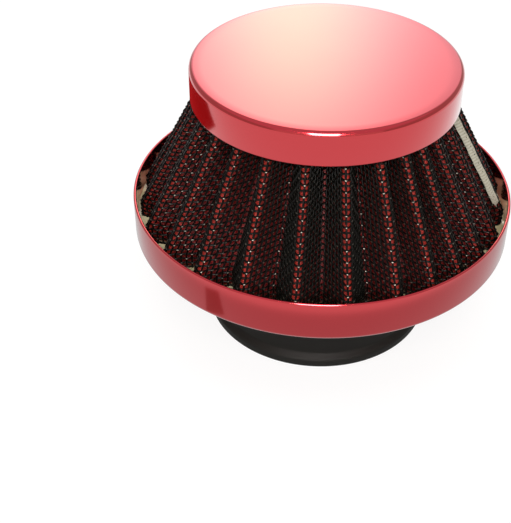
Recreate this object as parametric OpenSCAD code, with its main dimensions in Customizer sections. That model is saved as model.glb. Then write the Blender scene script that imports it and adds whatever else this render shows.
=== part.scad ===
// Clamp-on pod air filter: a pleated wire-and-gauze cone potted between a small top cap
// and a wide base dish, on a rubber neck that slips over a carburettor spigot.
// Millimetres. +Z is the filter's axis; the origin is the centre of the neck's lower face.

/* [Base dish] */
// Outer diameter of the base dish
dish_d = 100; // [90:1:125]
// Height of the dish's upright wall, from underside to rim
dish_h = 11; // [8:0.5:14]
// Sheet thickness of the dish
dish_t = 0.8; // [0.5:0.05:1]
// Outside radius of the corner between floor and wall
dish_corner = 1.4; // [1.1:0.1:3]

/* [Neck] */
// Bore of the neck, which is the spigot it fits
neck_bore_d = 48; // [35:1:58]
// Wall of the neck's sleeve
neck_wall = 5; // [3.5:0.5:6]
// Length of the neck below the dish
neck_len = 27.5; // [20:0.5:40]
// How far the bead at the lower end stands out from the sleeve
bead_out = 1.5; // [0.5:0.1:2.5]
// Height of the bead's upright face
bead_h = 2; // [1:0.25:4]
// Height of the flare from the sleeve out to the bead
flare_h = 2.2; // [1:0.1:4]
// Chamfer at the mouth of the bore
mouth_chamfer = 0.6; // [0.3:0.1:1]
// Depth of the groove that grips the edge of the dish's hole
neck_groove = 1.5; // [0.5:0.1:2.5]
// How far the flange inside the dish stands out from the sleeve
flange_out = 4.5; // [2:0.5:6]
// Thickness of that flange
flange_t = 1.8; // [1:0.1:2.2]

/* [Top cap] */
// Outer diameter of the top cap
cap_d = 68; // [55:1:84]
// Height of the cap's upright wall
cap_h = 9; // [7:0.5:12]
// Sheet thickness of the cap
cap_t = 0.8; // [0.5:0.05:1]
// Outside radius of the cap's upper edge
cap_edge = 1.2; // [1.1:0.1:3]

/* [Pleated element] */
// Element that shows between the dish's rim and the cap's lower edge
exposed_h = 27.5; // [20:0.5:40]
// Number of pleats
pleats = 26; // [18:1:32]
// Radial depth of a pleat at its head; the same sheet spreads into a shallower pleat below
pleat_depth = 8; // [6:0.2:10]
// Outside radius of a ridge fold
ridge_fold = 1.6; // [1.4:0.05:1.9]
// Radius in the crease of a valley, on the outside
crease = 0.3; // [0.2:0.05:0.5]
// How far the spacing of the pleats swings, in degrees, from hand gathering
gather = 4.2; // [0:0.1:5]
// Clearance between the ridges and the dish's wall
foot_gap = 0.8; // [0.6:0.1:2]
// Clearance between the ridges and the cap's wall, inside the cap
cap_gap = 0.7; // [0.6:0.1:3]
// Upright foot of the pleats above the potting
foot_h = 4.6; // [1:0.2:6]
// Thickness of the outer wire screen
outer_screen_t = 0.6; // [0.4:0.05:0.7]
// Thickness of one gauze ply
gauze_t = 0.2; // [0.1:0.05:0.25]
// Thickness of the inner wire screen
inner_screen_t = 0.3; // [0.2:0.05:0.35]

/* [Seam] */
// Direction of the ridge beside the seam, round the axis from the front towards +X, in degrees
seam_azimuth = 80; // [0:1:359]
// Slit between the pack's two ends
seam_slit = 0.2; // [0.1:0.05:0.5]
// Width of the strip bonded over the slit
strip_w = 1.8; // [1.7:0.1:4]
// Thickness of the strip
strip_t = 0.35; // [0.2:0.05:0.4]
// How far the strip wraps over the fold of the ridge
strip_over = 0.8; // [0.2:0.1:0.8]
// Film of bond between the strip and the screen under it
strip_gap = 0.1; // [0.05:0.01:0.15]
// Height of the strip's lower end above the straight foot
strip_lift = 2.4; // [0:0.2:6]

/* [Potting] */
// Depth of resin on the dish's floor
base_pot_h = 2.9; // [2:0.1:5.5]
// Distance of the resin's inner edge from the neck's bore
base_pot_lip = 2; // [1:0.25:4]
// Height of the resin's face above the cap's lower edge
cap_pot_lift = 2; // [1:0.25:3]
// Resin left between the dish's floor and the pleats' lower ends
foot_lift = 0.4; // [0.2:0.1:1]
// Resin left between the cap and the pleats' upper ends
head_lift = 1.6; // [0.5:0.1:3]

/* [Hidden] */
$fn = 128;

red_coat = [0.74, 0.16, 0.19];
black_wire = [0.05, 0.05, 0.05];
red_gauze = [0.55, 0.05, 0.05];
bare_wire = [0.62, 0.62, 0.60];
strip_grey = [0.68, 0.67, 0.62];
cream_resin = [0.82, 0.78, 0.60];
black_rubber = [0.07, 0.07, 0.07];

// radii
dish_r = dish_d / 2;
dish_inner_r = dish_r - dish_t;
bore_r = neck_bore_d / 2;
sleeve_r = bore_r + neck_wall;
hole_r = sleeve_r - neck_groove;
flange_r = sleeve_r + flange_out;
cap_r = cap_d / 2;
cap_inner_r = cap_r - cap_t;

// heights, from the neck's lower face up
floor_z = neck_len + dish_t;
rim_z = neck_len + dish_h;
flange_top_z = floor_z + flange_t;
pleat_bottom_z = floor_z + foot_lift;
base_pot_z = floor_z + base_pot_h;
foot_top_z = base_pot_z + foot_h;
cap_bottom_z = rim_z + exposed_h;
cap_pot_z = cap_bottom_z + cap_pot_lift;
cap_top_z = cap_bottom_z + cap_h;
pleat_top_z = cap_top_z - cap_t - head_lift;

// pleated pack: where each sheet lies under the pack's outer skin
outer_ply_depth = outer_screen_t;
inner_ply_depth = outer_ply_depth + gauze_t;
inner_screen_depth = inner_ply_depth + gauze_t;
pack_t = inner_screen_depth + inner_screen_t;

// pleated pack: spacing round the axis, in degrees
pleat_step = 360 / pleats;
gather_phase = 245;
seam_reach = strip_w / 2 - strip_over;

// how finely curves and the pack's taper are divided
arc_steps = 8;
ridge_steps = 4;
valley_steps = 2;
strip_steps = 2;
taper_steps = 3;
taper_levels = [for (k = [0 : taper_steps])
    foot_top_z + (cap_bottom_z - foot_top_z) * k / taper_steps];
pack_levels = concat([pleat_bottom_z], taper_levels, [pleat_top_z]);

function dir(a) = [cos(a), sin(a)];

function arc(centre, r, from, to, steps = arc_steps) =
    [for (k = [0 : steps]) centre + r * dir(from + (to - from) * k / steps)];

function reversed(list) = [for (k = [len(list) - 1 : -1 : 0]) list[k]];

// polar angle of a ridge; the seam is on the flank that leads up to ridge 0
function ridge_angle(i) =
    seam_azimuth - 90 + i * pleat_step
    + gather * (sin(2 * i * pleat_step + gather_phase) - sin(gather_phase));

function half_pitch(i) = (ridge_angle(i + 1) - ridge_angle(i)) / 2;

function valley_angle(i) = (ridge_angle(i + 1) + ridge_angle(i)) / 2;

// radius of the pack's outer skin at the ridges: upright foot, taper, upright head
function ridge_r(z) = lookup(z, [
    [foot_top_z, dish_inner_r - foot_gap],
    [cap_bottom_z, cap_inner_r - cap_gap]
]);

function ridge_centre(i, z) = (ridge_r(z) - ridge_fold) * dir(ridge_angle(i));

// half the distance between neighbouring ridges, if they were evenly spaced
function spread(z) = ridge_r(z) * sin(pleat_step / 2);

// depth of a pleat at height z, where half a pleat of the sheet is as wide as it is at the head
function depth_at(z) = sqrt(pleat_depth ^ 2 + spread(cap_bottom_z) ^ 2 - spread(z) ^ 2);

function crease_r(z) = ridge_r(z) - depth_at(z) + crease;

// angle from a ridge's own direction to its flank's outward normal: the flank is the
// inner tangent of the ridge's fold and the valley's crease
function lean(half, z) =
    let (reach = crease_r(z) * dir(half) - [ridge_r(z) - ridge_fold, 0])
    atan2(reach[1], reach[0]) - acos((ridge_fold + crease) / norm(reach));

function lean_before(i, z) = lean(half_pitch(i == 0 ? pleats - 1 : i - 1), z);

function ridge_arc(i, z, depth) =
    let (a = ridge_angle(i))
    arc(ridge_centre(i, z), ridge_fold - depth, a - lean_before(i, z),
        a + lean(half_pitch(i), z), ridge_steps);

function valley_arc(i, z, depth) =
    let (
        a = valley_angle(i) + 180,
        turn = lean(half_pitch(i), z) - half_pitch(i)
    )
    arc(crease_r(z) * dir(valley_angle(i)), crease + depth, a + turn, a - turn, valley_steps);

// point on the flank that leads up to ridge 0, at a distance from that ridge's fold
function seam_point(z, depth, reach) =
    let (a = ridge_angle(0) - lean_before(0, z))
    ridge_centre(0, z) + (ridge_fold - depth) * dir(a) + reach * dir(a - 90);

// one skin of the pack in plan at height z, at a depth under the outer skin, seam to seam
function skin(z, depth) = [
    seam_point(z, depth, seam_reach),
    for (i = [0 : pleats - 1]) each concat(ridge_arc(i, z, depth), valley_arc(i, z, depth)),
    seam_point(z, depth, seam_reach + seam_slit)
];

function raised(points, z) = [for (p = points) [p[0], p[1], z]];

// two triangles of a wall quad, split from the lower corner that lies further out
function split(low, next_low, next_high, high, falls) = falls
    ? [[low, high, next_high], [low, next_high, next_low]]
    : [[low, high, next_low], [high, next_high, next_low]];

// A strip between two skins, lofted through its levels. outer[k] and inner[k] are the
// points of level k, in all the same number.
module lofted_strip(outer, inner) {
    n = len(outer[0]);
    top = len(outer) - 1;
    function o(level, j) = level * 2 * n + j;
    function i(level, j) = o(level, j) + n;
    walls = [
        for (j = [0 : n - 2])
            let (falls = norm(outer[0][j]) > norm(outer[0][j + 1]))
            for (k = [0 : top - 1]) each concat(
                split(o(k, j), o(k, j + 1), o(k + 1, j + 1), o(k + 1, j), falls),
                split(i(k, j + 1), i(k, j), i(k + 1, j), i(k + 1, j + 1), !falls)
            )
    ];
    ends = [
        for (j = [0 : n - 2]) each [
            [o(top, j), i(top, j), i(top, j + 1)],
            [o(top, j), i(top, j + 1), o(top, j + 1)],
            [o(0, j), i(0, j + 1), i(0, j)],
            [o(0, j), o(0, j + 1), i(0, j + 1)]
        ]
    ];
    seams = [
        for (k = [0 : top - 1]) each [
            [i(k, 0), i(k + 1, 0), o(k + 1, 0)],
            [i(k, 0), o(k + 1, 0), o(k, 0)],
            [i(k, n - 1), o(k + 1, n - 1), i(k + 1, n - 1)],
            [i(k, n - 1), o(k, n - 1), o(k + 1, n - 1)]
        ]
    ];
    polyhedron(
        points = [for (k = [0 : top]) each concat(outer[k], inner[k])],
        faces = concat(walls, ends, seams)
    );
}

// one pleated sheet, from depth to depth + thickness under the pack's outer skin
module pleated_sheet(depth, thickness) {
    lofted_strip(
        [for (z = pack_levels) raised(skin(z, depth), z)],
        [for (z = pack_levels) raised(skin(z, depth + thickness), z)]
    );
}

// the slot that one end of the pack fills in the potting
module pack_slot(from_z, to_z, pack_z) {
    translate([0, 0, from_z])
        linear_extrude(to_z - from_z)
            polygon(concat(skin(pack_z, 0), reversed(skin(pack_z, pack_t))));
}

module outer_screen() {
    color(black_wire) pleated_sheet(0, outer_screen_t);
}

module outer_gauze_ply() {
    color(red_gauze) pleated_sheet(outer_ply_depth, gauze_t);
}

module inner_gauze_ply() {
    color(red_gauze) pleated_sheet(inner_ply_depth, gauze_t);
}

module inner_screen() {
    color(bare_wire) pleated_sheet(inner_screen_depth, inner_screen_t);
}

// strip bonded over the slit between the pack's two ends, from the flank round on to the ridge
module seam_strip() {
    strip_bottom_z = foot_top_z + strip_lift;
    strip_levels = concat(
        [strip_bottom_z],
        [for (z = taper_levels) if (z > strip_bottom_z) z],
        [cap_pot_z]
    );
    wrap = strip_over / ridge_fold * 180 / PI;
    function strip_skin(z, depth) =
        let (a = ridge_angle(0) - lean_before(0, z))
        raised(concat(
            [seam_point(z, depth, strip_w - strip_over)],
            arc(ridge_centre(0, z), ridge_fold - depth, a, a + wrap, strip_steps)
        ), z);
    color(strip_grey) lofted_strip(
        [for (z = strip_levels) strip_skin(z, -strip_gap - strip_t)],
        [for (z = strip_levels) strip_skin(z, -strip_gap)]
    );
}

module top_cap() {
    corner = [cap_r - cap_edge, cap_top_z - cap_edge];
    lip = [cap_r - cap_t / 2, cap_bottom_z + cap_t / 2];
    color(red_coat) rotate_extrude() polygon(concat(
        [[0, cap_top_z - cap_t], [0, cap_top_z]],
        arc(corner, cap_edge, 90, 0),
        arc(lip, cap_t / 2, 0, -180),
        arc(corner, cap_edge - cap_t, 0, 90)
    ));
}

module top_potting() {
    corner = [cap_r - cap_edge, cap_top_z - cap_edge];
    color(cream_resin) difference() {
        rotate_extrude() polygon(concat(
            [[0, cap_top_z - cap_t], [0, cap_pot_z], [cap_inner_r, cap_pot_z]],
            arc(corner, cap_edge - cap_t, 0, 90)
        ));
        pack_slot(cap_pot_z - 1, pleat_top_z, pleat_top_z);
    }
}

module base_dish() {
    corner = [dish_r - dish_corner, neck_len + dish_corner];
    lip = [dish_r - dish_t / 2, rim_z - dish_t / 2];
    color(red_coat) rotate_extrude() polygon(concat(
        [[hole_r, floor_z], [hole_r, neck_len]],
        arc(corner, dish_corner, -90, 0),
        arc(lip, dish_t / 2, 0, 180),
        arc(corner, dish_corner - dish_t, 0, -90)
    ));
}

module base_potting() {
    corner = [dish_r - dish_corner, neck_len + dish_corner];
    pot_inner_r = bore_r + base_pot_lip;
    color(cream_resin) difference() {
        rotate_extrude() polygon(concat(
            [[flange_r, flange_top_z], [flange_r, floor_z]],
            arc(corner, dish_corner - dish_t, -90, 0),
            [[dish_inner_r, base_pot_z], [pot_inner_r, base_pot_z], [pot_inner_r, flange_top_z]]
        ));
        pack_slot(pleat_bottom_z, base_pot_z + 1, pleat_bottom_z);
    }
}

// rubber sleeve with a bead at its mouth, and a groove and flange that seat in the dish's hole
module neck() {
    bead_r = sleeve_r + bead_out;
    bead_edge = bead_h / 3;
    color(black_rubber) rotate_extrude() polygon(concat(
        [[bore_r, flange_top_z], [bore_r, mouth_chamfer], [bore_r + mouth_chamfer, 0]],
        arc([bead_r - bead_edge, bead_edge], bead_edge, -90, 0),
        [for (k = [0 : arc_steps]) [
            bead_r - bead_out * (1 - cos(180 * k / arc_steps)) / 2,
            bead_h + flare_h * k / arc_steps
        ]],
        [[sleeve_r, neck_len], [hole_r, neck_len], [hole_r, floor_z],
         [flange_r, floor_z], [flange_r, flange_top_z]]
    ));
}

top_cap();
top_potting();
outer_screen();
outer_gauze_ply();
inner_gauze_ply();
inner_screen();
seam_strip();
base_potting();
base_dish();
neck();
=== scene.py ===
"""Looks for a clamp-on pod air filter: a pleated wire-and-gauze cone between a red metal
cap and dish, on a black rubber neck. Metres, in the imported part's own frame."""

import math

import bpy
import numpy as np
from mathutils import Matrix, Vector, kdtree


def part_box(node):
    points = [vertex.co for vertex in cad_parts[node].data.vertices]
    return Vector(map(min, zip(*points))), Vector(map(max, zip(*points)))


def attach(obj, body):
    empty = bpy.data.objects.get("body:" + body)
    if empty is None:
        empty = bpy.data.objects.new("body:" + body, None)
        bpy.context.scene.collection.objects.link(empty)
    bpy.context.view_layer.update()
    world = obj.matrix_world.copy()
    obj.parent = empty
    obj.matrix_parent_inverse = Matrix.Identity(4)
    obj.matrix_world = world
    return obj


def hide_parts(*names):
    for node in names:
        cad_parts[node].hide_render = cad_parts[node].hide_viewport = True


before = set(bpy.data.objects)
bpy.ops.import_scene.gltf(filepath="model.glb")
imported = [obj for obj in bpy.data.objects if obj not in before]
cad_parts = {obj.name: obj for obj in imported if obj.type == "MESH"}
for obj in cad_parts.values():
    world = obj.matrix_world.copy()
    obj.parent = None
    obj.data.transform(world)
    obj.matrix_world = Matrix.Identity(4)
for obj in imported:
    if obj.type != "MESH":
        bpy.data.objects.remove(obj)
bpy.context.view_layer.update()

MM = 0.001

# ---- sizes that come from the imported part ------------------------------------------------

dish_low, dish_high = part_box("base_dish")
cap_low, cap_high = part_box("top_cap")
neck_low, neck_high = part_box("neck")
base_resin_low, base_resin_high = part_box("base_potting")
top_resin_low, top_resin_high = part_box("top_potting")
strip_low, strip_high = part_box("seam_strip")
pack_low, pack_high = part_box("outer_screen")

DISH_R = dish_high.x
DISH_FOOT = dish_low.z
RIM = dish_high.z
CAP_R = cap_high.x
CAP_FOOT = cap_low.z
CAP_TOP = cap_high.z
RESIN = base_resin_high.z
CAP_RESIN = top_resin_low.z
PACK_FOOT = pack_low.z
PACK_HEAD = pack_high.z
FLANGE_R = neck_high.x
FLANGE_TOP = neck_high.z

# ---- sizes repeated from the part's own source -------------------------------------------

# the cap's and the dish's sheet and roundings, and the neck
SHEET = 0.8 * MM
DISH_CORNER = 1.4 * MM
CAP_EDGE = 1.2 * MM
BORE_R = 24 * MM
SLEEVE_R = 29 * MM
HOLE_R = 27.5 * MM
BEAD_R = 30.5 * MM
BEAD_H = 2 * MM
FLARE_H = 2.2 * MM
MOUTH_CHAMFER = 0.6 * MM
RESIN_LIP_R = 26 * MM

# the pleats: their depth at the head, the radii of their folds, and where the ridges run
PLEATS = 26
PLEAT_STEP = 2 * math.pi / PLEATS
HEAD_DEPTH = 8 * MM
RIDGE_FOLD = 1.6 * MM
CREASE = 0.3 * MM
FOOT_GAP = 0.8 * MM
HEAD_GAP = 0.7 * MM
FOOT_H = 4.6 * MM
FOOT_RIDGE_R = DISH_R - SHEET - FOOT_GAP
HEAD_RIDGE_R = CAP_R - SHEET - HEAD_GAP
FOOT_TOP = RESIN + FOOT_H
SEAM_RIDGE = math.radians(-10)

# how uneven the pleats are: gathered round the girth, drifting on the way up, bowed
GATHER = math.radians(4.2)
GATHER_PHASE = math.radians(245)
DRIFT_RIDGE = 21.1
DRIFT_FOOT = math.radians(0.95)
DRIFT_GROWTH = math.radians(1.35)
BOW = math.radians(0.35)
RIDGE_WANDER = 0.22 * MM

# depths of the sheets' middles under the pack's outer skin, and the strip over its seam
SCREEN_MID = 0.3 * MM
OUTER_PLY_MID = 0.7 * MM
INNER_PLY_MID = 0.9 * MM
INNER_SCREEN_MID = 1.15 * MM
PLY = 0.2 * MM
STRIP_W = 1.8 * MM
STRIP_T = 0.35 * MM
STRIP_OVER = 0.8 * MM
BOND = 0.1 * MM


# ---- the pleated pack's shape ------------------------------------------------------------

def ridge_angle(i, z):
    """Polar angle of ridge i at height z: gathered by hand, drifting to one side on the way up
    and bowed a little between its ends."""
    even = SEAM_RIDGE + i * PLEAT_STEP
    gathered = GATHER * (np.sin(2 * i * PLEAT_STEP + GATHER_PHASE) - math.sin(GATHER_PHASE))
    drift = (DRIFT_FOOT + DRIFT_GROWTH * share_up(z)) * np.cos(4 * (i - DRIFT_RIDGE) * PLEAT_STEP)
    bow = BOW * np.sin(2.4 * (i % PLEATS) + 0.6) * bulge(z)
    return even + gathered + drift + bow


def ridge_r(i, z):
    """Radius of ridge i at height z, none quite alike."""
    return even_ridge_r(z) + RIDGE_WANDER * np.sin(5.1 * (i % PLEATS) + 1.3) * bulge(z)


def even_ridge_r(z):
    """Radius of the ridges: upright foot, taper, upright head."""
    return np.interp(z, [FOOT_TOP, CAP_FOOT], [FOOT_RIDGE_R, HEAD_RIDGE_R])


def share_up(z):
    """0 at the lower resin and 1 at the cap's lower edge."""
    return np.clip((z - RESIN) / (CAP_FOOT - RESIN), 0, 1)


def bulge(z):
    """0 at both potted ends of the pack and 1 half way up."""
    return np.sin(np.pi * share_up(z))


def depth_at(z):
    """Depth of a pleat at height z: the same width of sheet makes it shallower as it spreads."""
    head = HEAD_RIDGE_R * math.sin(PLEAT_STEP / 2)
    here = even_ridge_r(z) * math.sin(PLEAT_STEP / 2)
    return np.sqrt(HEAD_DEPTH ** 2 + head ** 2 - here ** 2)


def pleat(i, z, side):
    """Half a pleat beside valley i at height z: its ridge's place, and how its flank leans."""
    near = np.where(side > 0, i, i + 1)
    first, last = ridge_angle(i, z), ridge_angle(i + 1, z)
    half = (last - first) / 2
    fold_centre = ridge_r(near, z) - RIDGE_FOLD
    valley = (ridge_r(i, z) + ridge_r(i + 1, z)) / 2 - depth_at(z) + CREASE
    reach_x = valley * np.cos(half) - fold_centre
    reach_y = valley * np.sin(half)
    reach = np.hypot(reach_x, reach_y)
    lean = np.arctan2(reach_y, reach_x) - np.arccos((RIDGE_FOLD + CREASE) / reach)
    flank = np.sqrt(reach ** 2 - (RIDGE_FOLD + CREASE) ** 2)
    return np.where(side > 0, first, last), half, fold_centre, valley, lean, flank


def on_pack(girth, z, depth, middle=SCREEN_MID):
    """Points of the pack. girth counts pleats from ridge 0, halves lie in the valleys; depth is
    under the outer skin, and the girth is shared out along the sheet at depth middle."""
    girth = np.mod(girth, PLEATS)
    i = np.minimum(np.floor(girth), PLEATS - 1)
    part = girth - i
    side = np.where(part < 0.5, 1.0, -1.0)
    angle, half, fold_centre, valley, lean, flank = pleat(i, z, side)
    on_fold = (RIDGE_FOLD - middle) * lean
    in_crease = (CREASE + middle) * (lean - half)
    along = (1 - np.abs(1 - 2 * part)) * (on_fold + flank + in_crease)

    turn = np.minimum(along / (RIDGE_FOLD - middle), lean)
    run = np.clip(along - on_fold, 0, flank)
    back = np.clip(along - on_fold - flank, 0, in_crease) / (CREASE + middle)
    fold_r, crease_r = RIDGE_FOLD - depth, CREASE + depth
    x = fold_centre + fold_r * np.cos(turn) - run * np.sin(lean)
    y = fold_r * np.sin(turn) + run * np.cos(lean)
    folded = back > 0
    x = np.where(folded, valley * np.cos(half) - crease_r * np.cos(lean - back), x)
    y = np.where(folded, valley * np.sin(half) - crease_r * np.sin(lean - back), y) * side
    return np.stack([x * np.cos(angle) - y * np.sin(angle),
                     x * np.sin(angle) + y * np.cos(angle), z + 0 * x], axis=-1)


# lengths along the sheet, from its lower edge
FOOT_LENGTH = FOOT_TOP - PACK_FOOT
TAPER_LENGTH = math.hypot(CAP_FOOT - FOOT_TOP, FOOT_RIDGE_R - HEAD_RIDGE_R)
SHEET_LENGTH = FOOT_LENGTH + TAPER_LENGTH + PACK_HEAD - CAP_FOOT


def height_at(length):
    """Height of a point that lies this far up the sheet from its lower edge."""
    return np.interp(length, [0, FOOT_LENGTH, FOOT_LENGTH + TAPER_LENGTH, SHEET_LENGTH],
                     [PACK_FOOT, FOOT_TOP, CAP_FOOT, PACK_HEAD])


# ---- modelling helpers -------------------------------------------------------------------

def new_piece(name, add, **settings):
    """A primitive on its own, with nothing else selected."""
    bpy.ops.object.select_all(action="DESELECT")
    add(**settings)
    piece = bpy.context.active_object
    piece.name = piece.data.name = name
    return piece


def in_edit_mode(piece, *steps):
    """Runs edit-mode steps on all of the piece."""
    bpy.context.view_layer.objects.active = piece
    bpy.ops.object.mode_set(mode="EDIT")
    for step in steps:
        bpy.ops.mesh.select_all(action="SELECT")
        step()
    bpy.ops.object.mode_set(mode="OBJECT")


def modify(piece, kind, **settings):
    """Adds one modifier and applies it."""
    bpy.context.view_layer.objects.active = piece
    modifier = piece.modifiers.new(kind, kind)
    for key, value in settings.items():
        setattr(modifier, key, value)
    bpy.ops.object.modifier_apply(modifier=modifier.name)


def places(piece):
    """The piece's points, one row each."""
    flat = np.empty(len(piece.data.vertices) * 3)
    piece.data.vertices.foreach_get("co", flat)
    return flat.reshape(-1, 3)


def move_to(piece, points):
    """Moves the piece's points to new places."""
    piece.data.vertices.foreach_set("co", np.asarray(points, float).ravel())
    piece.data.update()


def smooth(piece, angle=35):
    """Smooth shading across edges that turn by less than this many degrees."""
    bpy.ops.object.select_all(action="DESELECT")
    piece.select_set(True)
    bpy.context.view_layer.objects.active = piece
    bpy.ops.object.shade_smooth_by_angle(angle=math.radians(angle))


def tidy_normals(piece):
    """Merges doubles and turns the faces outward."""
    in_edit_mode(
        piece,
        lambda: bpy.ops.mesh.remove_doubles(threshold=0.001 * MM),
        lambda: bpy.ops.mesh.normals_make_consistent(inside=False),
    )


def arc(centre_r, centre_z, radius, start, end, steps=10):
    """Points of an arc in the (radius, height) plane, angles in degrees from straight out."""
    turns = np.radians(np.linspace(start, end, steps + 1))
    return [(centre_r + radius * math.cos(t), centre_z + radius * math.sin(t)) for t in turns]


def turned(name, outline, segments=320):
    """A piece turned about the filter's axis from a closed outline of (radius, height) points."""
    piece = new_piece(name, bpy.ops.mesh.primitive_circle_add, vertices=len(outline), radius=RIM)
    move_to(piece, [(r, 0, z) for r, z in outline])
    in_edit_mode(piece, lambda: bpy.ops.mesh.spin(
        steps=segments, angle=2 * math.pi, center=(0, 0, 0), axis=(0, 0, 1)))
    tidy_normals(piece)
    return piece


def finish_piece(piece, node, material):
    """Gives the piece its finish and its body, and hides the imported node that it stands for."""
    piece.data.materials.append(material)
    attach(piece, "root")
    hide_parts(node)
    return piece


# ---- materials ---------------------------------------------------------------------------

def linear(hex_colour):
    """An sRGB hex colour as linear RGBA."""
    parts = [int(hex_colour[k:k + 2], 16) / 255 for k in (0, 2, 4)]
    return tuple(c / 12.92 if c <= 0.04045 else ((c + 0.055) / 1.055) ** 2.4 for c in parts) + (1.0,)


def add_node(material, kind, links=None, **settings):
    """One node with its settings and its inputs, linked to sockets or set to values."""
    node = material.node_tree.nodes.new(kind)
    for key, value in settings.items():
        setattr(node, key, value)
    for name, value in (links or {}).items():
        socket = node.inputs[name]
        if isinstance(value, bpy.types.NodeSocket):
            material.node_tree.links.new(value, socket)
        else:
            socket.default_value = value
    return node


def new_material(name, **settings):
    """A material with one Principled shader, whose uniform values are set on its own sockets."""
    material = bpy.data.materials.new(name)
    material.use_nodes = True
    material.node_tree.nodes.clear()
    shader = add_node(material, "ShaderNodeBsdfPrincipled", settings)
    add_node(material, "ShaderNodeOutputMaterial", {"Surface": shader.outputs["BSDF"]})
    return material, shader


def join(material, socket, source):
    """Links an output to a socket of the shader."""
    material.node_tree.links.new(source, socket)


def object_noise(material, scale_mm, detail=2.0, stretch=(1, 1, 1)):
    """Noise on object coordinates whose features are about scale_mm across."""
    place = add_node(material, "ShaderNodeTexCoord")
    turned_place = add_node(material, "ShaderNodeMapping",
                            {"Vector": place.outputs["Object"], "Scale": stretch})
    return add_node(material, "ShaderNodeTexNoise", {
        "Vector": turned_place.outputs["Vector"], "Scale": 1 / (scale_mm * MM), "Detail": detail})


def red_lacquered_aluminium():
    """Spun aluminium under transparent red lacquer: a tinted mirror with a clear gloss over it,
    whose polish clouds it a little."""
    material, shader = new_material(
        "red_lacquered_aluminium",
        **{"Base Color": linear("C8202A"), "Metallic": 1.0, "Roughness": 0.12,
           "Coat Weight": 1.0, "Coat Roughness": 0.1, "Coat IOR": 1.6})
    clouds = object_noise(material, 9, 3)
    worn = add_node(material, "ShaderNodeMapRange", {
        "Value": clouds.outputs["Fac"], "From Min": 0.3, "From Max": 0.7,
        "To Min": 0.10, "To Max": 0.15})
    join(material, shader.inputs["Roughness"], worn.outputs["Result"])
    peel = object_noise(material, 1.6, 1)
    bump = add_node(material, "ShaderNodeBump", {
        "Height": peel.outputs["Fac"], "Strength": 0.05, "Distance": 0.02 * MM})
    join(material, shader.inputs["Normal"], bump.outputs["Normal"])
    return material


def black_enamelled_wire():
    """Steel wire dipped in black enamel: near black, with worn steel showing through at the
    crowns of the weft, where the enamel has run thin and rubbed off."""
    material, shader = new_material(
        "black_enamelled_wire",
        **{"Base Color": linear("0A0A08"), "Roughness": 0.3, "Specular IOR Level": 0.1})
    height = add_node(material, "ShaderNodeAttribute", attribute_name="crown")
    patches = object_noise(material, 1.7, 2)
    edge = add_node(material, "ShaderNodeMapRange", {
        "Value": patches.outputs["Fac"], "From Min": 0.3, "From Max": 0.7,
        "To Min": 0.72, "To Max": 0.9})
    worn = add_node(material, "ShaderNodeMapRange", {
        "Value": height.outputs["Fac"], "From Min": edge.outputs["Result"], "From Max": 1.0,
        "To Min": 0.0, "To Max": 1.0})
    colour = add_node(material, "ShaderNodeMix", {
        "Factor": worn.outputs["Result"], "A": linear("0A0A08"),
        "B": linear("7A766C")}, data_type="RGBA")
    join(material, shader.inputs["Base Color"], colour.outputs["Result"])
    join(material, shader.inputs["Metallic"], worn.outputs["Result"])
    runs = object_noise(material, 0.6, 2)
    bump = add_node(material, "ShaderNodeBump", {
        "Height": runs.outputs["Fac"], "Strength": 0.2, "Distance": 0.03 * MM})
    join(material, shader.inputs["Normal"], bump.outputs["Normal"])
    return material


def bare_wire():
    """Drawn aluminium wire: dull silver."""
    material, shader = new_material(
        "drawn_aluminium_wire",
        **{"Base Color": linear("B9B8B2"), "Metallic": 1.0, "Roughness": 0.35})
    runs = object_noise(material, 0.5, 2)
    bump = add_node(material, "ShaderNodeBump", {
        "Height": runs.outputs["Fac"], "Strength": 0.2, "Distance": 0.02 * MM})
    join(material, shader.inputs["Normal"], bump.outputs["Normal"])
    return material


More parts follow.
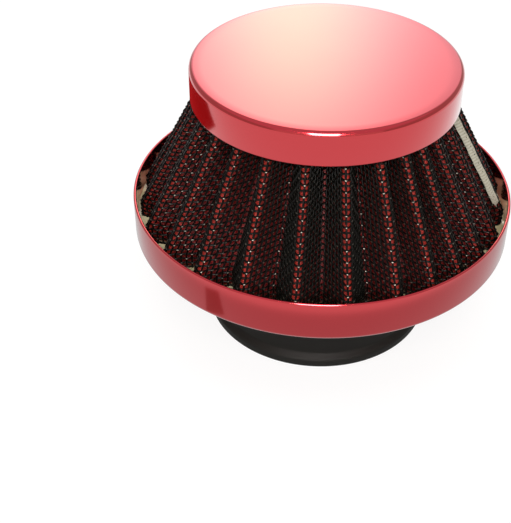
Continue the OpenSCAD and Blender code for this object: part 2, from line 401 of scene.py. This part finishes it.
def oiled_red_gauze(name, threads_round, threads_up):
    """Cotton gauze soaked in red filter oil: dyed threads with darker gaps between them, painted
    lighter along the ridges and darker on the flanks as painted light and shade, patchy where more
    has soaked in, and with a ragged cream edge where the potting has wicked up it."""
    material, shader = new_material(
        name, **{"Roughness": 0.6, "Specular IOR Level": 0.2, "Coat Weight": 0.1,
                 "Coat Roughness": 0.25})
    place = add_node(material, "ShaderNodeTexCoord")
    waves = []
    for direction, threads in (("X", threads_round), ("Y", threads_up)):
        stretched = add_node(material, "ShaderNodeMapping", {
            "Vector": place.outputs["UV"], "Scale": (threads_round, threads_up, 1)})
        waves.append(add_node(material, "ShaderNodeTexWave", {
            "Vector": stretched.outputs["Vector"], "Scale": 0.5, "Distortion": 0.6, "Detail": 1.0},
            bands_direction=direction))
    weave = add_node(material, "ShaderNodeMath", {
        0: waves[0].outputs["Fac"], 1: waves[1].outputs["Fac"]}, operation="MAXIMUM")
    soak = object_noise(material, 7, 3)
    depth = add_node(material, "ShaderNodeMath", {
        0: weave.outputs["Value"], 1: soak.outputs["Fac"]}, operation="MULTIPLY")
    # the first pair of colours is the flanks' painted shade, the second the ridges' painted light
    flank_shade_and_ridge_light = []
    for dark, light in (("300304", "660D0B"), ("600A08", "A02A1E")):
        shade = add_node(material, "ShaderNodeValToRGB", {"Fac": depth.outputs["Value"]})
        shade.color_ramp.elements[0].position = 0.1
        shade.color_ramp.elements[0].color = linear(dark)
        shade.color_ramp.elements[1].position = 0.5
        shade.color_ramp.elements[1].color = linear(light)
        flank_shade_and_ridge_light.append(shade.outputs["Color"])
    # painted light: the ridge values mix the lit colours in along the ridges and the shaded ones on
    # the flanks
    ridge = add_node(material, "ShaderNodeAttribute", attribute_name="ridge")
    colour = add_node(material, "ShaderNodeMix", {
        "Factor": ridge.outputs["Fac"], "A": flank_shade_and_ridge_light[0], "B": flank_shade_and_ridge_light[1]}, data_type="RGBA")
    height = add_node(material, "ShaderNodeSeparateXYZ", {"Vector": place.outputs["Object"]})
    ragged = object_noise(material, 1.1, 3)
    tide = add_node(material, "ShaderNodeMath", {
        0: ragged.outputs["Fac"], 1: 2.2 * MM, 2: RESIN - 0.2 * MM}, operation="MULTIPLY_ADD")
    wicked = add_node(material, "ShaderNodeMapRange", {
        "Value": height.outputs["Z"], "From Min": tide.outputs["Value"], "From Max": RESIN,
        "To Min": 0.0, "To Max": 1.6}, clamp=True)
    stained = add_node(material, "ShaderNodeMix", {
        "Factor": wicked.outputs["Result"], "A": colour.outputs["Result"],
        "B": linear("9C9576")}, data_type="RGBA")
    join(material, shader.inputs["Base Color"], stained.outputs["Result"])
    bump = add_node(material, "ShaderNodeBump", {
        "Height": weave.outputs["Value"], "Strength": 0.5, "Distance": 0.1 * MM})
    join(material, shader.inputs["Normal"], bump.outputs["Normal"])
    return material


def cream_polyurethane():
    """Cast polyurethane: cream, self-levelled and glossy, with slow ripples where it cured."""
    material, shader = new_material(
        "cream_cast_polyurethane",
        **{"Base Color": linear("C8C09C"), "Roughness": 0.1, "Coat Weight": 0.5})
    cloud = object_noise(material, 5, 3)
    colour = add_node(material, "ShaderNodeValToRGB", {"Fac": cloud.outputs["Fac"]})
    colour.color_ramp.elements[0].position = 0.3
    colour.color_ramp.elements[0].color = linear("A39A74")
    colour.color_ramp.elements[1].position = 0.7
    colour.color_ramp.elements[1].color = linear("D2CBA8")
    join(material, shader.inputs["Base Color"], colour.outputs["Color"])
    ripple = object_noise(material, 2.2, 2)
    bump = add_node(material, "ShaderNodeBump", {
        "Height": ripple.outputs["Fac"], "Strength": 0.5, "Distance": 0.15 * MM})
    join(material, shader.inputs["Normal"], bump.outputs["Normal"])
    return material


def pressed_strip():
    """Soft aluminium strip pressed on to the screen, so that the wires print through it."""
    material, shader = new_material(
        "pressed_aluminium_strip",
        **{"Base Color": linear("CFCBBB"), "Metallic": 0.7, "Roughness": 0.5})
    place = add_node(material, "ShaderNodeTexCoord")
    slanted = add_node(material, "ShaderNodeMapping", {
        "Vector": place.outputs["UV"], "Scale": (3, 26, 1), "Rotation": (0, 0, math.radians(12))})
    print_through = add_node(material, "ShaderNodeTexWave", {
        "Vector": slanted.outputs["Vector"], "Scale": 0.5, "Distortion": 1.0},
        bands_direction="Y")
    colour = add_node(material, "ShaderNodeValToRGB", {"Fac": print_through.outputs["Fac"]})
    colour.color_ramp.elements[0].color = linear("A19E8E")
    colour.color_ramp.elements[1].color = linear("BAB7A7")
    join(material, shader.inputs["Base Color"], colour.outputs["Color"])
    bump = add_node(material, "ShaderNodeBump", {
        "Height": print_through.outputs["Fac"], "Strength": 0.25, "Distance": 0.06 * MM})
    join(material, shader.inputs["Normal"], bump.outputs["Normal"])
    return material


def moulded_rubber():
    """Moulded black nitrile rubber: satin, with the mould's fine grain."""
    material, shader = new_material(
        "moulded_nitrile_rubber",
        **{"Base Color": linear("0E0D09"), "Roughness": 0.6, "Specular IOR Level": 0.25})
    grain = object_noise(material, 0.35, 3)
    bump = add_node(material, "ShaderNodeBump", {
        "Height": grain.outputs["Fac"], "Strength": 0.25, "Distance": 0.05 * MM})
    join(material, shader.inputs["Normal"], bump.outputs["Normal"])
    return material


red_metal = red_lacquered_aluminium()
black_wire = black_enamelled_wire()
silver_wire = bare_wire()
resin = cream_polyurethane()
rubber = moulded_rubber()


# ---- cap, dish and neck ------------------------------------------------------------------

def cap():
    """Spun cap, open downwards, with a rounded edge and lip."""
    edge_r, edge_z = CAP_R - CAP_EDGE, CAP_TOP - CAP_EDGE
    lip_r, lip_z = CAP_R - SHEET / 2, CAP_FOOT + SHEET / 2
    outline = [(0, CAP_TOP - SHEET), (0, CAP_TOP)]
    outline += [(CAP_R * share, CAP_TOP) for share in (0.3, 0.6, 0.9)]
    outline += arc(edge_r, edge_z, CAP_EDGE, 90, 0)
    outline += arc(lip_r, lip_z, SHEET / 2, 0, -180)
    outline += arc(edge_r, edge_z, CAP_EDGE - SHEET, 0, 90)
    piece = turned("top_cap_shell", outline)
    finish_piece(piece, "top_cap", red_metal)
    smooth(piece)


def dish():
    """Spun dish, open upwards, with a rounded corner and lip and the neck's hole."""
    corner_r, corner_z = DISH_R - DISH_CORNER, DISH_FOOT + DISH_CORNER
    lip_r, lip_z = DISH_R - SHEET / 2, RIM - SHEET / 2
    outline = [(HOLE_R, DISH_FOOT + SHEET), (HOLE_R, DISH_FOOT)]
    outline += arc(corner_r, corner_z, DISH_CORNER, -90, 0)
    outline += arc(lip_r, lip_z, SHEET / 2, 0, 180)
    outline += arc(corner_r, corner_z, DISH_CORNER - SHEET, 0, -90)
    piece = turned("base_dish_shell", outline)
    finish_piece(piece, "base_dish", red_metal)
    smooth(piece)


def neck():
    """Rubber neck: bead and flare below, sleeve, groove round the hole's edge, flange inside."""
    edge = BEAD_H / 3
    steps = 12
    flare = [(BEAD_R - (BEAD_R - SLEEVE_R) * (1 - math.cos(math.pi * k / steps)) / 2,
              BEAD_H + FLARE_H * k / steps) for k in range(steps + 1)]
    outline = [(BORE_R, FLANGE_TOP), (BORE_R, MOUTH_CHAMFER), (BORE_R + MOUTH_CHAMFER, 0)]
    outline += arc(BEAD_R - edge, edge, edge, -90, 0)
    outline += flare
    outline += [(SLEEVE_R, DISH_FOOT), (HOLE_R, DISH_FOOT), (HOLE_R, DISH_FOOT + SHEET),
                (FLANGE_R, DISH_FOOT + SHEET), (FLANGE_R, FLANGE_TOP)]
    piece = turned("rubber_neck", outline)
    finish_piece(piece, "neck", rubber)
    smooth(piece)


# ---- potting -----------------------------------------------------------------------------

CREEP = 0.5 * MM
RIPPLE = 0.05 * MM
RINGS = 56


def creep(piece, level, up, wall):
    """Lets a resin face climb where it wets the pack and the metal wall, and ripple elsewhere."""
    skins = np.concatenate([on_pack(np.linspace(0, PLEATS, PLEATS * 40, endpoint=False), level, depth)
                            for depth in (0, INNER_SCREEN_MID)])
    tree = kdtree.KDTree(len(skins))
    for k, skin in enumerate(skins):
        tree.insert(skin, k)
    tree.balance()
    points = places(piece)
    face = np.abs(points[:, 2] - level) < 0.01 * MM
    x, y = points[face, 0], points[face, 1]
    near = np.array([tree.find(point)[2] for point in points[face]])
    climb = CREEP * np.exp(-near / (0.45 * MM))
    climb += CREEP * np.exp(-np.abs(np.hypot(x, y) - wall) / (0.6 * MM))
    climb += RIPPLE * np.sin(x / (3.1 * MM)) * np.sin(y / (2.3 * MM))
    points[face, 2] += up * climb
    move_to(piece, points)


def base_resin():
    """Resin cast in the dish round the neck's flange."""
    wall_r = DISH_R - SHEET
    corner_r, corner_z = DISH_R - DISH_CORNER, DISH_FOOT + DISH_CORNER
    outline = [(FLANGE_R, FLANGE_TOP), (FLANGE_R, DISH_FOOT + SHEET)]
    outline += arc(corner_r, corner_z, DISH_CORNER - SHEET, -90, 0, 4)
    outline += [(r, RESIN) for r in np.linspace(wall_r, RESIN_LIP_R, RINGS)]
    outline += [(RESIN_LIP_R, FLANGE_TOP)]
    piece = turned("base_resin", outline, segments=PLEATS * 30)
    creep(piece, RESIN, 1, wall_r)
    finish_piece(piece, "base_potting", resin)
    smooth(piece)


def top_resin():
    """Resin that fills the cap."""
    wall_r = CAP_R - SHEET
    edge_r, edge_z = CAP_R - CAP_EDGE, CAP_TOP - CAP_EDGE
    outline = [(0, CAP_TOP - SHEET)]
    outline += [(r, CAP_RESIN) for r in np.linspace(0, wall_r, RINGS)]
    outline += arc(edge_r, edge_z, CAP_EDGE - SHEET, 0, 90, 4)
    piece = turned("top_resin", outline, segments=PLEATS * 20)
    creep(piece, CAP_RESIN, -1, wall_r)
    finish_piece(piece, "top_potting", resin)
    smooth(piece)


# ---- pleated pack ------------------------------------------------------------------------

def woven_wires(name, node, material, weave, weft, rows, first):
    """Half of a plain-woven screen: rows of weft that run round the girth, or the warp that runs
    up the pack. One wire is modelled over two meshes, arrayed flat, then laid on the pleats. The
    weft's "crown" values are 1 at its outermost points."""
    pitch, wire_d, crimp, round_count, depth = weave
    sides = 6
    along, across = (0, 1) if weft else (1, 0)
    turn = (0, math.pi / 2, 0) if weft else (math.pi / 2, 0, 0)
    piece = new_piece(name, bpy.ops.mesh.primitive_cylinder_add, vertices=sides, radius=wire_d / 2,
                      depth=2 * pitch, end_fill_type="NOTHING", rotation=turn)
    bpy.ops.object.transform_apply(location=True, rotation=True, scale=True)
    bpy.ops.object.mode_set(mode="EDIT")
    bpy.ops.mesh.select_mode(type="EDGE")
    bpy.ops.mesh.select_all(action="DESELECT")
    bpy.ops.object.mode_set(mode="OBJECT")
    for edge in piece.data.edges:
        start, end = (piece.data.vertices[v].co[along] for v in edge.vertices)
        edge.select = abs(start - end) > pitch
    bpy.ops.object.mode_set(mode="EDIT")
    bpy.ops.mesh.subdivide(number_cuts=3 if weft else 1)
    bpy.ops.mesh.select_mode(type="VERT")
    bpy.ops.object.mode_set(mode="OBJECT")
    points = places(piece)
    points[:, along] += pitch
    points[:, 2] += (1 if weft else -1) * crimp * np.cos(math.pi * points[:, along] / pitch)
    move_to(piece, points)

    onward, sideways = [0, 0, 0], [0, 0, 0]
    onward[along] = sideways[across] = 2 * pitch
    lengths, pairs = (round_count // 2, rows // 2) if weft else (rows // 2, round_count // 2)
    for count, offset, merge in ((lengths, onward, True), (2, (pitch, pitch, 0), False),
                                 (pairs, sideways, False)):
        modify(piece, "ARRAY", count=count, use_relative_offset=False, use_constant_offset=True,
               constant_offset_displace=offset, use_merge_vertices=merge, merge_threshold=0.01 * MM)

    points = places(piece)
    if weft:
        crown = piece.data.attributes.new("crown", "FLOAT", "POINT")
        crown.data.foreach_set("value", points[:, 2] / points[:, 2].max())
    girth = points[:, 0] / (round_count * pitch) * PLEATS
    z = height_at(points[:, 1] + first * pitch)
    move_to(piece, on_pack(girth, z, depth - points[:, 2], depth))
    in_edit_mode(piece, lambda: bpy.ops.mesh.remove_doubles(threshold=0.001 * MM),
                 lambda: bpy.ops.mesh.fill_holes(sides=sides),
                 lambda: bpy.ops.mesh.normals_make_consistent(inside=False))
    finish_piece(piece, node, material)
    smooth(piece, 80)


def gauze(name, node, depth):
    """One ply of gauze, from seam to seam and from resin to resin. Its "ridge" values are 1 along
    the ridges and 0 on the flanks."""
    slit, seam = 0.02, 0.14
    piece = new_piece(name, bpy.ops.mesh.primitive_grid_add,
                      x_subdivisions=PLEATS * 32, y_subdivisions=26, size=1)
    points = places(piece)
    girth = (points[:, 0] + 0.5) * (PLEATS - slit) - seam
    z = height_at((points[:, 1] + 0.5) * SHEET_LENGTH)
    move_to(piece, on_pack(girth, z, depth, depth))
    # the ridge values carry the painted light along the ridges and the painted shade on the flanks
    ridge = piece.data.attributes.new("ridge", "FLOAT", "POINT")
    ridge.data.foreach_set("value", np.clip(1.2 - np.abs(girth - np.round(girth)) / 0.1, 0, 1))
    modify(piece, "SOLIDIFY", thickness=PLY, offset=0)
    finish_piece(piece, node, oiled_red_gauze(name + "_cotton", PLEATS * 36, 70))
    smooth(piece, 80)


def seam_strip():
    """The strip over the slit: pressed flat, a little uneven, and torn off at its lower end."""
    piece = new_piece("seam_strip_pressed", bpy.ops.mesh.primitive_grid_add,
                      x_subdivisions=8, y_subdivisions=140, size=1)
    points = places(piece)
    across, up = points[:, 0] + 0.5, points[:, 1] + 0.5
    foot = strip_low.z + 0.2 * MM
    tear = 0.9 * MM * (np.sin(across * 7 + 0.4) * 0.6 + np.sin(across * 17) * 0.4)
    z = foot + tear * (1 - up) ** 8 + up * (CAP_RESIN - foot)
    z = np.minimum(z, CAP_RESIN)
    wander = 0.05 * MM * np.sin(up * 19) + 0.03 * MM * np.sin(up * 53 + 1)
    reach = across * STRIP_W - STRIP_OVER + wander
    _, half, _, _, lean, flank = pleat(np.full_like(z, PLEATS - 1), z, -1 * np.ones_like(z))
    on_fold = (RIDGE_FOLD - SCREEN_MID) * lean
    whole = on_fold + flank + (CREASE + SCREEN_MID) * (lean - half)
    girth = PLEATS - (on_fold + reach) / whole / 2
    lift = BOND + 0.012 * MM * np.sin(up * 26 * 2 * math.pi + across * 2)
    move_to(piece, on_pack(girth, z, -lift, SCREEN_MID))
    modify(piece, "SOLIDIFY", thickness=STRIP_T, offset=1)
    tidy_normals(piece)
    finish_piece(piece, "seam_strip", pressed_strip())
    smooth(piece, 50)


cap()
dish()
neck()
base_resin()
top_resin()

# pitch, wire diameter, crimp, wires round the girth, depth of the screen's middle
OUTER_WEAVE = (TAPER_LENGTH / 25, 0.52 * MM, 0.2 * MM, 346, SCREEN_MID)
INNER_WEAVE = (1.8 * MM, 0.26 * MM, 0.1 * MM, 254, INNER_SCREEN_MID)
# rows of weft from foot to head, and how many pitches up the sheet the first one lies
OUTER_ROWS, OUTER_FIRST = 32, 1.25
INNER_ROWS, INNER_FIRST = 24, 1
for part, rows_below in (("lower", 0), ("upper", OUTER_ROWS // 2)):
    woven_wires("outer_screen_weft_" + part, "outer_screen", black_wire,
                OUTER_WEAVE, True, OUTER_ROWS // 2, OUTER_FIRST + rows_below)
woven_wires("outer_screen_warp", "outer_screen", black_wire,
            OUTER_WEAVE, False, OUTER_ROWS, OUTER_FIRST)
for run, weft in (("weft", True), ("warp", False)):
    woven_wires("inner_screen_" + run, "inner_screen", silver_wire,
                INNER_WEAVE, weft, INNER_ROWS, INNER_FIRST)
gauze("outer_gauze", "outer_gauze_ply", OUTER_PLY_MID)
gauze("inner_gauze", "inner_gauze_ply", INNER_PLY_MID)
seam_strip()


# ---- floor, lights and camera ------------------------------------------------------------

def glow_material(name, inner, outer, inner_strength, outer_strength, reach, fall=2.0):
    """Light that is strongest at the middle of a panel and falls away like a bell. reach is the
    share of the panel's width and height at which it has fallen to about a third, and a high
    fall gives the bell a flat top and steep sides."""
    material = bpy.data.materials.new(name)
    material.use_nodes = True
    material.node_tree.nodes.clear()
    place = add_node(material, "ShaderNodeTexCoord")
    centred = add_node(material, "ShaderNodeMapping", {
        "Vector": place.outputs["Object"], "Scale": (1 / reach[0], 1 / reach[1], 1)})
    far = add_node(material, "ShaderNodeVectorMath", {0: centred.outputs["Vector"]},
                   operation="LENGTH")
    power = add_node(material, "ShaderNodeMath", {0: far.outputs["Value"], 1: fall},
                     operation="POWER")
    bell = add_node(material, "ShaderNodeMath", {0: 1 / math.e, 1: power.outputs["Value"]},
                    operation="POWER")
    strength = add_node(material, "ShaderNodeMapRange", {
        "Value": bell.outputs["Value"], "To Min": outer_strength, "To Max": inner_strength})
    colour = add_node(material, "ShaderNodeMix", {
        "Factor": bell.outputs["Value"], "A": linear(outer), "B": linear(inner)}, data_type="RGBA")
    glow = add_node(material, "ShaderNodeEmission", {
        "Color": colour.outputs["Result"], "Strength": strength.outputs["Result"]})
    add_node(material, "ShaderNodeOutputMaterial", {"Surface": glow.outputs["Emission"]})
    return material


def glowing_panel(name, material, centre, target, width, height):
    """A softbox or a card that shows in the metal, but that the camera doesn't see and that lights
    no matt surface."""
    panel = new_piece(name, bpy.ops.mesh.primitive_plane_add, size=1)
    panel.data.materials.append(material)
    panel.scale = (width, height, 1)
    panel.location = centre
    panel.rotation_euler = (Vector(target) - Vector(centre)).to_track_quat("-Z", "Y").to_euler()
    panel.visible_camera = panel.visible_shadow = panel.visible_diffuse = False
    return panel


def even_card(name, finish, colour, strength, centre, target, width, height):
    """A panel that glows evenly."""
    material = glow_material(finish, colour, colour, strength, strength, (1, 1))
    return glowing_panel(name, material, centre, target, width, height)


def floor_card(name, finish, colour, x, y, width, height, turn):
    """An even card that lies just above the floor, turned by this many degrees."""
    card = even_card(name, finish, colour, 1.0, (x, y, CARD_Z), (x, y, -1), width, height)
    card.rotation_euler.z = math.radians(turn)


def area_light(name, centre, target, size, watts, colour):
    """A rectangular lamp that lights matt surfaces and doesn't show in the metal."""
    light = bpy.data.lights.new(name, "AREA")
    light.shape = "RECTANGLE"
    light.size, light.size_y = size
    light.energy = watts
    light.color = linear(colour)[:3]
    lamp = bpy.data.objects.new(name, light)
    lamp.location = centre
    lamp.rotation_euler = (Vector(target) - Vector(centre)).to_track_quat("-Z", "Y").to_euler()
    lamp.visible_glossy = False
    bpy.context.scene.collection.objects.link(lamp)


CAMERA = Vector((-0.01756, -0.23981, 0.20111))
CAMERA_LENS = 74.34
CAMERA_TILT, CAMERA_ROLL = 51.76, -0.17
CAP_MIDDLE = Vector((0, 0, CAP_TOP))
FLASH = (-0.02, -0.40, 0.38)
FLOOR_SIZE = 60
CARD_Z = 0.4 * MM

floor = new_piece("floor", bpy.ops.mesh.primitive_plane_add, size=FLOOR_SIZE)
white, white_shader = new_material(
    "matte_white_paper",
    **{"Base Color": linear("6C6C6C"), "Roughness": 0.9, "Specular IOR Level": 0.1,
       "Emission Color": linear("FFFFFF"), "Emission Strength": 0.87})
fibres = object_noise(white, 2, 2)
paper = add_node(white, "ShaderNodeBump", {
    "Height": fibres.outputs["Fac"], "Strength": 0.05, "Distance": 0.05 * MM})
join(white, white_shader.inputs["Normal"], paper.outputs["Normal"])
floor.data.materials.append(white)
floor.visible_diffuse = False

# the back softbox is what the cap's flat top reflects to the camera
BACK_DISTANCE = 0.9
seen = Vector((-0.0078, 0.018, CAP_TOP))
away = seen - CAMERA
away.z = -away.z
glowing_panel("back_softbox",
              glow_material("warm_softbox", "FFF2D8", "F8F6FF", 4.8, 1.2, (0.144, 0.297)),
              seen + away.normalized() * BACK_DISTANCE, seen, 0.8, 0.6)

# the floor as the metal shows it: shaded round the foot, and even further out
FLOOR_CARD = 0.7
SHADE_R = DISH_R + 52 * MM
SHADE_REACH = SHADE_R / FLOOR_CARD
SHADE_EDGE = 36.0
glowing_panel("shaded_floor",
              glow_material("shaded_paper", "FFFFFF", "FFFFFF", 0.62, 0.96,
                            (SHADE_REACH, SHADE_REACH), SHADE_EDGE),
              (0, 0, 0.2 * MM), (0, 0, -1), FLOOR_CARD, FLOOR_CARD)

# pale cards above and in front, and a small bright one where the flash stands
even_card("overhead_card", "rosy_card", "FFE4F4", 0.72, (0, -0.375, 1.0), (0, -0.375, 0), 2.0, 1.85)
even_card("flash_card", "flash_glow", "FFFAF8", 22.0, FLASH, CAP_MIDDLE, 0.18, 0.34)
even_card("front_card", "pale_card", "FFF4F2", 0.75, (0, -1.0, 0.33), (0, 0, 0.05), 1.8, 0.9)

# two dark cards: one shows at the left end of the cap's wall, one as a streak in the dish's
floor_card("cap_dark_card", "red_card", "A6191C", -0.100, 0.086, 0.14, 0.068, 45)
floor_card("dish_dark_card", "dim_card", "B08886", -0.066, -0.056, 0.024, 0.012, 24)

area_light("front_softbox", FLASH, CAP_MIDDLE, (0.17, 0.2), 1.7, "FFFAF4")
area_light("ceiling", (0, -0.1, 1.1), (0, 0, 0), (0.8, 0.8), 4.5, "FFFFFF")

world = bpy.data.worlds.new("studio")
world.use_nodes = True
world.node_tree.nodes["Background"].inputs["Color"].default_value = linear("F4ECE6")
world.node_tree.nodes["Background"].inputs["Strength"].default_value = 0.55
scene = bpy.context.scene
scene.world = world
scene.view_settings.view_transform = "Standard"

camera_data = bpy.data.cameras.new("camera")
camera_data.sensor_fit = "VERTICAL"
camera_data.sensor_height = 36
camera_data.lens = CAMERA_LENS
camera = bpy.data.objects.new("camera", camera_data)
camera.location = CAMERA
camera.rotation_euler = (math.radians(CAMERA_TILT), 0, 0)
camera.rotation_euler.rotate_axis("Z", math.radians(CAMERA_ROLL))
scene.collection.objects.link(camera)
scene.camera = camera
